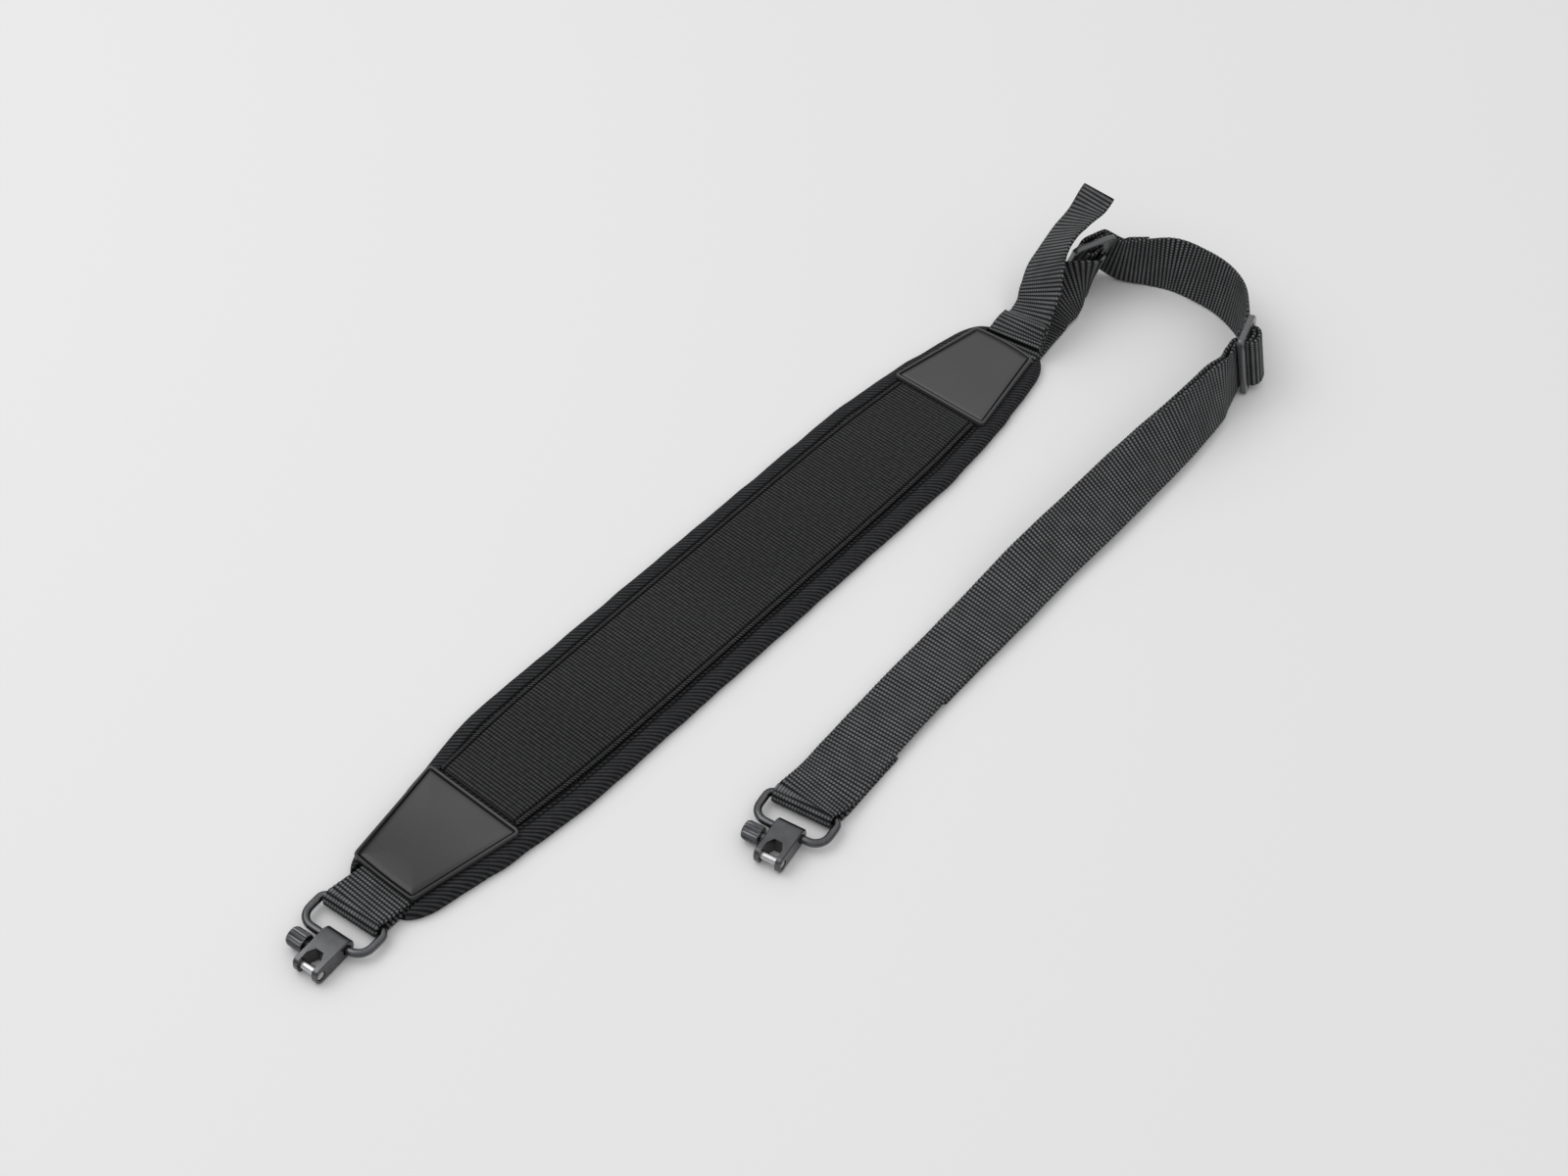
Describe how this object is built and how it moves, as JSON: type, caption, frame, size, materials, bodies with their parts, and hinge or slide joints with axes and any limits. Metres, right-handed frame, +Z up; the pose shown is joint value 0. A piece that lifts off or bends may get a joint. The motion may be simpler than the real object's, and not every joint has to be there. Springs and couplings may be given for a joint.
{
  "type": "padded shoulder carrying sling",
  "caption": "Padded webbing shoulder sling with a wide cushion, sliding adjusters and quick-release swivels at both ends, lying on a surface.",
  "frame": {"origin": "middle of the bounding box on the surface that the sling lies on", "axes": "+X along the pad towards its rear end, +Z up from the surface, +Y to the pad's left"},
  "size_m": [0.4868, 0.1378, 0.0466],
  "materials": {
    "twill_cloth": "black twill with sewn edges",
    "ribbed_cloth": "fine ribbed elastic cloth",
    "soft_leather": "dark grey soft leather with a raised rim",
    "webbing": "black woven webbing",
    "glossy_plastic": "glossy black moulded plastic",
    "dark_steel": "satin blackened steel",
    "bright_steel": "plain steel"
  },
  "bodies": {
    "sling": {"pad_body": "twill_cloth", "pad_panel": "ribbed_cloth", "front_patch": "soft_leather", "rear_patch": "soft_leather", "front_tab": "webbing", "rear_tab": "webbing", "rear_keeper": "webbing", "loose_tail": "webbing", "main_strap": "webbing", "under_strap": "webbing", "rear_slider": "glossy_plastic", "strap_slider": "glossy_plastic"},
    "front_wire": {"front_wire_loop": "dark_steel"},
    "front_swivel": {"front_swivel_block": "dark_steel", "front_cross_pin": "bright_steel"},
    "front_plunger": {"front_knob": "dark_steel"},
    "long_wire": {"long_wire_loop": "dark_steel"},
    "long_swivel": {"long_swivel_block": "dark_steel", "long_cross_pin": "bright_steel"},
    "long_plunger": {"long_knob": "dark_steel"}
  },
  "joints": [
    {"name": "front_wire_swing", "type": "hinge", "parent": "sling", "child": "front_wire", "pos_m": [-0.21482, 0.03655, 0.004], "axis": [-0.0872, 0.9962, 0], "range_deg": [0, 80]},
    {"name": "front_block_swing", "type": "hinge", "parent": "front_wire", "child": "front_swivel", "pos_m": [-0.22777, 0.03541, 0.004], "axis": [-0.0872, 0.9962, 0], "range_deg": [0, 120]},
    {"name": "front_plunger_press", "type": "slide", "parent": "front_swivel", "child": "front_plunger", "axis": [0.0872, -0.9962, 0], "range_m": [0, 0.0015], "stiffness_N_per_m": 400, "springref_m": -0.0002},
    {"name": "long_wire_swing", "type": "hinge", "parent": "sling", "child": "long_wire", "pos_m": [-0.07942, -0.05185, 0.004], "axis": [-0.1736, 0.9848, 0], "range_deg": [0, 80]},
    {"name": "long_block_swing", "type": "hinge", "parent": "long_wire", "child": "long_swivel", "pos_m": [-0.09222, -0.05411, 0.004], "axis": [-0.1736, 0.9848, 0], "range_deg": [0, 120]},
    {"name": "long_plunger_press", "type": "slide", "parent": "long_swivel", "child": "long_plunger", "axis": [0.1736, -0.9848, 0], "range_m": [0, 0.0015], "stiffness_N_per_m": 400, "springref_m": -0.0002}
  ]
}
